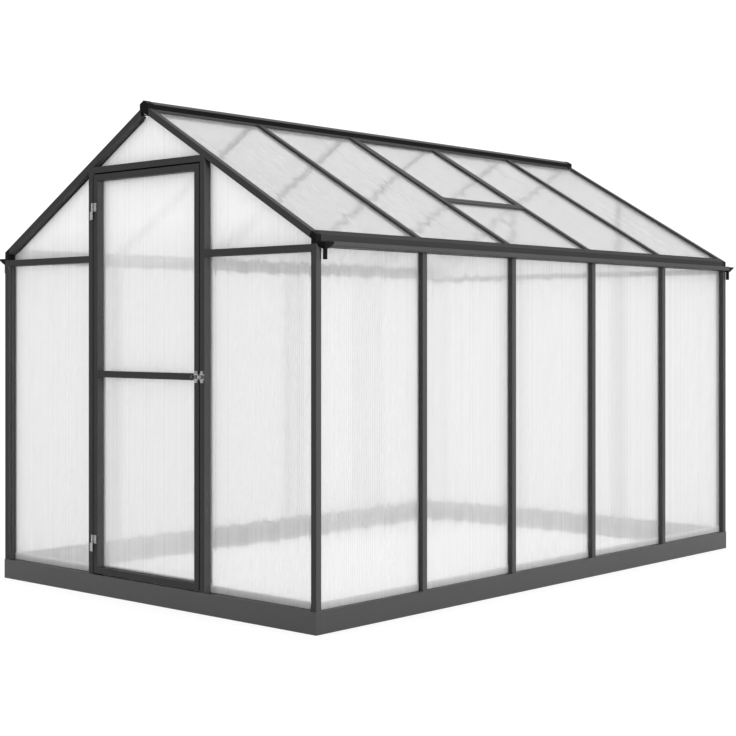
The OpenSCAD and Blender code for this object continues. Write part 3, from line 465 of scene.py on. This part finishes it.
# One sheet as a closed hollow profile: point = u x across + w x out + v x along, on a grid with u at the edges
# of the ribs, w at the faces of the two skins and v at the foot and the upper edge, which follows the solid's
# own outline. Skins and ribs are closed, the flutes between them are open
def flutedSheet(points, middle):
    out, across, along = sheetAxes(points, middle)
    u, w, v = points @ across, points @ out, points @ along
    foot = v.min()
    upper = v > foot + sheet["footEdge"]
    order = np.argsort(u[upper])
    count = max(2, int(round((u.max() - u.min()) / sheet["pitch"])))
    pitch = (u.max() - u.min()) / count
    starts = u.min() + pitch * np.arange(count)
    cells = np.stack([starts + sheet["rib"] / 2, starts + pitch - sheet["rib"] / 2], axis=1).ravel()
    us = np.concatenate([[u.min()], cells, [u.max()]])
    ws = np.array([w.min(), w.min() + sheet["skin"], w.max() - sheet["skin"], w.max()])
    tops = np.interp(us, u[upper][order], v[upper][order])
    columns = len(us)
    gridU = np.broadcast_to(us[:, None, None], (columns, 4, 2))
    gridW = np.broadcast_to(ws[None, :, None], (columns, 4, 2))
    gridV = np.stack([np.full(columns, foot), tops], axis=1)[:, None, :].repeat(4, axis=1)
    spots = gridU[..., None] * across + gridW[..., None] * out + gridV[..., None] * along
    index = np.arange(columns * 8).reshape(columns, 4, 2)

    # Four corners of every face of a grid, turned round where it has to look the other way
    def faces(a, b, c, d, flip=False):
        found = np.stack([a, b, c, d], axis=-1).reshape(-1, 4)
        return found[:, ::-1] if flip else found

    left, right = index[:-1], index[1:]
    solid = np.ones((columns - 1, 3), bool)
    solid[1::2, 1] = False
    shells, kinds = [], []

    def add(quads, kind):
        shells.append(quads)
        kinds.append(np.full(len(quads), kind))

    for end, flip in ((0, False), (1, True)):
        a, b = left[:, :-1, end], right[:, :-1, end]
        c, d = right[:, 1:, end], left[:, 1:, end]
        add(faces(a[solid], b[solid], c[solid], d[solid], flip), 1)
    for level, flip in ((0, True), (3, False)):
        add(faces(left[:, level, 0], right[:, level, 0], right[:, level, 1], left[:, level, 1], flip), 0)
    inner = slice(1, None, 2)
    add(faces(left[inner, 1, 0], right[inner, 1, 0], right[inner, 1, 1], left[inner, 1, 1]), 1)
    add(faces(left[inner, 2, 0], right[inner, 2, 0], right[inner, 2, 1], left[inner, 2, 1], True), 1)
    add(faces(left[inner, 1, 0], left[inner, 1, 1], left[inner, 2, 1], left[inner, 2, 0]), 1)
    add(faces(right[inner, 1, 0], right[inner, 1, 1], right[inner, 2, 1], right[inner, 2, 0], True), 1)
    for edge, flip in ((0, True), (-1, False)):
        grid = index[edge]
        add(faces(grid[:-1, 0], grid[1:, 0], grid[1:, 1], grid[:-1, 1], flip), 1)
    quads = np.concatenate(shells)
    flat = np.stack([gridU, gridV, gridW], axis=-1).reshape(-1, 3)[quads.ravel()]
    onBack = flat[:, 2] < ws.mean()
    shift = sheet["backShift"]
    uv = np.stack([flat[:, 0] + onBack * sheet["pitch"] * shift[0], flat[:, 1] + onBack * shift[1]], axis=1)
    return spots.reshape(-1, 3), quads, np.concatenate(kinds), uv


insideHouse = up * float(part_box("left_eave_beam")[0].z) * 0.6  # tells the outer side of a sheet


# Every sheet of a node, joined into the piece that stands for it
def sheetPiece(name, node, kind):
    parts = [flutedSheet(points, insideHouse) for points in solidsOf(node)]
    points, quads = joined(parts)
    kinds, uv = [np.concatenate([part[k] for part in parts]) for k in (2, 3)]
    piece = makePiece(name, points, quads, [faceSheet[kind], wallSheet], bodyOf[node], "pane", kinds, uv)
    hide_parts(node)
    return piece


sheetPieces = {
    "leftWallSheets": ("left_wall_panes", "side"), "rightWallSheets": ("right_wall_panes", "side"),
    "frontGableSheets": ("front_gable_panes", "gable"), "rearGableSheets": ("rear_gable_panes", "gable"),
    "leftRoofSheets": ("left_roof_panes", "roof"), "rightRoofSheets": ("right_roof_panes", "roof"),
    "ventSheet": ("vent_pane", "roof"), "doorSheets": ("door_panes", "door"),
}
for name, (node, kind) in sheetPieces.items():
    sheetPiece(name, node, kind)
print("twin-wall sheets:", len(sheetPieces))


# ---- screws

screw = {
    "radius": 0.0029, "height": 0.0015,
    "flat": 0.72,      # share of the radius that the flat top takes
    "socket": 0.0013, "depth": 0.0011,
    "taper": 0.94,     # width of the socket's floor
    "drill": 1.1,      # depth of the socket's middle
    "hub": 0.02,       # the profile stays this far from the axis, in radii
    "steps": 24,
}


# Screw head turned round an axis towards -Y: the outline runs from the rim over the dome, radius = rim x (flat
# + (1 - flat) x cos t) and height = high x sin t, into a six-sided socket, whose radius is
# socket / cos(angle folded into one sixth)
def screwHeads(name, places, body):
    steps = screw["steps"]
    angle = np.arange(steps) * 2 * math.pi / steps
    sixth = math.pi / 3
    hexagon = screw["socket"] / np.cos(np.mod(angle, sixth) - sixth / 2)
    rim, high, deep = screw["radius"], screw["height"], screw["depth"]
    flat, hub = screw["flat"], screw["hub"]
    bend = np.linspace(0, math.pi / 2, 6)
    outline = [(rim, 0.0)] + list(zip(rim * (flat + (1 - flat) * np.cos(bend)), high * np.sin(bend))) + [
        (hexagon, high), (hexagon * screw["taper"], high - deep), (hexagon * hub, high - deep * screw["drill"]),
        (rim * hub, 0.0)]
    profile = np.stack([np.stack(np.broadcast_arrays(radius, level, angle)[:2], 1) for radius, level in outline])
    profile = np.concatenate([profile[-1:], profile[:-1]])
    spot = np.stack([profile[..., 0] * np.cos(angle), -profile[..., 1], profile[..., 0] * np.sin(angle)], -1)
    count = len(profile)
    ring, turn = np.meshgrid(np.arange(count), np.arange(steps), indexing="ij")
    after = (turn + 1) % steps
    outer = (ring + 1) % count
    quads = np.stack([ring * steps + turn, outer * steps + turn, outer * steps + after, ring * steps + after], -1)
    quads = quads.reshape(-1, 4)
    points = np.concatenate([spot.reshape(-1, 3) + np.array(place) for place in places])
    quads = np.concatenate([quads + k * count * steps for k in range(len(places))])
    makePiece(name, points, quads, [hingeZinc], body, "zinc")


fixing = {"leafHeight": 0.034, "leafInset": 0.0075, "leafShares": (0.25, 0.75), "plate": 0.003, "tabZ": 0.005}
frontFace = float(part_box("door_jambs")[0].y)
plateFace = frontFace - fixing["plate"]


# Two screws one above the other near the outer edge of each hinge leaf
def leafScrews(node, side):
    found = []
    for points in solidsOf(node):
        edge = points[:, 0].min() + fixing["leafInset"] if side < 0 else points[:, 0].max() - fixing["leafInset"]
        foot = points[:, 2].min()
        found += [(edge, plateFace, foot + fixing["leafHeight"] * share) for share in fixing["leafShares"]]
    return found


# One screw in each of the two tabs of a latch plate
def tabScrews(node):
    low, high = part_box(node)
    return [((low.x + high.x) / 2, plateFace, z) for z in (low.z + fixing["tabZ"], high.z - fixing["tabZ"])]


screwHeads("frameHingeScrews", leafScrews("hinge_frame_leaves", -1), "frame")
screwHeads("doorHingeScrews", leafScrews("hinge_door_leaves", 1), "door")
screwHeads("keeperScrews", tabScrews("latch_keeper"), "frame")
screwHeads("latchScrews", tabScrews("latch_plate"), "door")
print("screws placed")


# ---- black ridge strips and corner lips

# Closed strip: the profile between two rows of points in space, near and far, carried straight by the vector
# way. Its faces are turned over where the enclosed volume, the sum of a . (b x c), comes out negative
def carried(near, far, way):
    count = len(near)
    ring = np.concatenate([near, far[::-1]])
    k = np.arange(2 * count)
    after = (k + 1) % (2 * count)
    wall = np.stack([k, after, after + 2 * count, k + 2 * count], axis=1)
    half = np.arange(count - 1)
    end = np.stack([half, 2 * count - 1 - half, 2 * count - 2 - half, half + 1], axis=1)
    faces = np.concatenate([wall, end, end[:, ::-1] + 2 * count])
    points = np.concatenate([ring, ring + way])
    a, b, c, d = (points[faces[:, corner]] for corner in range(4))
    volume = np.sum(a * np.cross(b, c)) + np.sum(a * np.cross(c, d))
    return points, faces if volume > 0 else faces[:, ::-1]


ridgeStrip = {
    "side": 0.022,     # from the middle to the beam's side
    "below": 0.0138,   # from the beam's top
    "height": 0.0192,
    "sink": 0.0003,    # into the beam's side, and how far out of it
    "proud": 0.0010,
    "edge": 0.0016,
}


# Black plastic strip along each side of the ridge beam, flat with quarter-round edges: over a quarter turn t,
# out = proud x sin(t) and down = edge x (1 - cos(t)), and the same mirrored at the foot
def ridgeSeals():
    low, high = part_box("ridge_beam")
    turn = np.linspace(0, math.pi / 2, 5)
    rise = ridgeStrip["proud"] * np.sin(turn)
    out = np.concatenate([rise, rise[::-1]])
    down = ridgeStrip["edge"] * (1 - np.cos(turn))
    z = high.z - ridgeStrip["below"] - np.concatenate([down, ridgeStrip["height"] - down[::-1]])
    strips = []
    for side in (1, -1):
        near = np.stack([np.full(len(z), side * (ridgeStrip["side"] - ridgeStrip["sink"])), np.full(len(z), low.y), z], axis=1)
        far = near + np.outer(out + ridgeStrip["sink"], (side, 0, 0))
        strips.append(carried(near, far, np.array([0, high.y - low.y, 0])))
    makePiece("ridgeSeals", *joined(strips), [blackPlastic], "frame", "black_plastic")


cornerLip = {
    "face": 0.026,     # width of the post's face
    "lap": 0.0006,     # how far the lip laps behind it
    "wall": 0.0008, "bend": 0.001,
    "gap": 0.0006,     # to the sheets
    "cover": 0.0024,   # how far it covers the edge of the gable sheet
    "lift": 0.0004,    # above the foot of the post
}


# Folded lip at the foot of each corner post, between the post, the end of the wall sheet and the edge of the
# gable sheet. Its plan is a Z of two bends: point = centre + (bend +- wall / 2) x (cos t, sin t)
def cornerLips():
    look = cornerLip
    post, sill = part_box("front_left_post")[0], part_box("base_front")[1]
    gable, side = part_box("front_gable_panes")[0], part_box("left_wall_panes")[1]
    startX = post.x + look["face"] - look["lap"]
    firstY = post.y + 2 * look["wall"]
    standX = side.x + look["gap"] + look["wall"] / 2
    lastY = gable.y - look["gap"] - look["wall"] / 2
    bend = look["bend"]
    turn = np.linspace(0, math.pi / 2, 6)
    rows = []
    for part in (0.5, -0.5):
        off = look["wall"] * part
        first = np.stack([standX - bend + (bend - off) * np.sin(turn), firstY + bend - (bend - off) * np.cos(turn)], 1)
        last = np.stack([standX + bend - (bend + off) * np.cos(turn), lastY - bend + (bend + off) * np.sin(turn)], 1)
        row = np.concatenate([[(startX, firstY + off)], first, last, [(gable.x + look["cover"], lastY + off)]])
        rows.append(np.column_stack([row, np.full(len(row), post.z + look["lift"])]))
    way = up * (sill.z - post.z - look["lift"])
    corners = [np.array([x, y, 1]) for x in (1, -1) for y in (1, -1)]
    lips = joined([carried(rows[0] * corner, rows[1] * corner, way) for corner in corners])
    makePiece("cornerLips", *lips, [coatZ], "frame", "frame_metal")


ridgeSeals()
cornerLips()
print("ridge seals and corner lips placed")


# ---- floor, light and camera

studio = {
    "world": 1.08,
    "floor": 0.9,
    "floorSeen": 0.25,
    "floorGlow": 0.8,
    "floorClouds": 0.7, "floorSpread": 0.005,
    "reach": 60.0,
    "aim": (0, 0, 1.0),
    "lamps": {
        "key": {"at": (8.0, -2.8, 1.4), "size": 2.5, "power": 1650, "skips": ("pane", "base_metal")},
        "rim": {"at": (6.5, 6.0, 2.0), "size": 4.0, "power": 470, "skips": ("pane",)},
    },
}


# Pale ground: tone = floor x (1 +- floorSpread) with slow clouds, white paint for soft light. The camera, mirrors
# and clear sheets see a thinner paint that takes the shadow, plus a glow, so the ground ends up white
def paleGround():
    finish = Finish("paleGround")
    place = finish.position()
    clouds = finish.grain(place, (studio["floorClouds"],) * 3, detail=2)
    spread = studio["floorSpread"]
    paint, thin = [finish.node("ShaderNodeBsdfDiffuse", None, {
        "Color": finish.blend(clouds, grey(studio[key] * (1 - spread)), grey(studio[key] * (1 + spread)))})
        for key in ("floor", "floorSeen")]
    eye, mirror, sharp = [finish.node("ShaderNodeLightPath", output=ray)
                          for ray in ("Is Camera Ray", "Is Glossy Ray", "Is Singular Ray")]
    seen = eye.math("MAXIMUM", eye.math("MAXIMUM", eye, mirror), sharp)
    glow = finish.node("ShaderNodeEmission", None, {"Color": grey(1.0), "Strength": studio["floorGlow"]})
    return finish.shows(finish.mix(seen, paint, finish.node("ShaderNodeAddShader", None, {0: thin, 1: glow})))


# One large square that belongs to the stage
def stageGround():
    reach = studio["reach"]
    spots = np.array([[-reach, -reach, 0], [reach, -reach, 0], [reach, reach, 0], [-reach, reach, 0]])
    mesh = bpy.data.meshes.new("ground")
    mesh.from_pydata(spots.tolist(), [], [[0, 1, 2, 3]])
    ground = bpy.data.objects.new("ground", mesh)
    bpy.context.scene.collection.objects.link(ground)
    dress(ground, paleGround())


# White surroundings
def surroundings():
    world = bpy.data.worlds.new("studioWhite")
    bpy.context.scene.world = world
    world.use_nodes = True
    tree = world.node_tree
    tree.nodes.clear()
    back = tree.nodes.new("ShaderNodeBackground")
    back.inputs["Color"].default_value = (1, 1, 1, 1)
    back.inputs["Strength"].default_value = studio["world"]
    end = tree.nodes.new("ShaderNodeOutputWorld")
    tree.links.new(back.outputs[0], end.inputs["Surface"])


# Turns a lamp's -Z towards a target, upright
def aim(thing, target):
    way = np.array(target, float) - np.array(thing.location, float)
    flat = math.hypot(way[0], way[1])
    thing.rotation_euler = (math.atan2(flat, -way[2]), 0, math.atan2(way[1], way[0]) - math.pi / 2)


# Lamps that light chosen finishes only, so the pale sheets and the ground keep their tones, and that don't
# show in reflections
def studioLamps():
    pieces = [thing for thing in bpy.data.objects if thing.type == "MESH" and thing.name != "ground"]
    for name, lamp in studio["lamps"].items():
        lit = bpy.data.collections.new(name + "Lit")
        for thing in pieces:
            if slotOf.get(thing.name) not in lamp["skips"]:
                lit.objects.link(thing)
        light = bpy.data.lights.new(name, "AREA")
        light.size = lamp["size"]
        light.energy = lamp["power"]
        holder = bpy.data.objects.new(name, light)
        holder.location = lamp["at"]
        aim(holder, studio["aim"])
        holder.light_linking.receiver_collection = lit
        holder.visible_glossy = False
        bpy.context.scene.collection.objects.link(holder)


view = {"at": (4.6849, -5.3273, 1.0790), "turn": 42.056, "lens": 74.10, "rise": -0.04945}


# Level camera, so uprights stay upright: the lens is shifted by rise instead of tilting
def camera():
    eye = bpy.data.cameras.new("camera")
    eye.lens = view["lens"]
    eye.sensor_width = 36
    eye.shift_y = view["rise"]
    eye.clip_end = 200
    holder = bpy.data.objects.new("camera", eye)
    holder.location = view["at"]
    holder.rotation_euler = (math.pi / 2, 0, math.radians(view["turn"]))
    bpy.context.scene.collection.objects.link(holder)
    bpy.context.scene.camera = holder


stageGround()
surroundings()
studioLamps()
camera()

scene = bpy.context.scene
scene.view_settings.view_transform = "Standard"
scene.cycles.use_denoising = True
scene.cycles.max_bounces = 28
scene.cycles.diffuse_bounces = 3
scene.cycles.glossy_bounces = 10
scene.cycles.transmission_bounces = 20
scene.cycles.transparent_max_bounces = 64
scene.cycles.caustics_reflective = False
print("stage, lamps and camera ready")
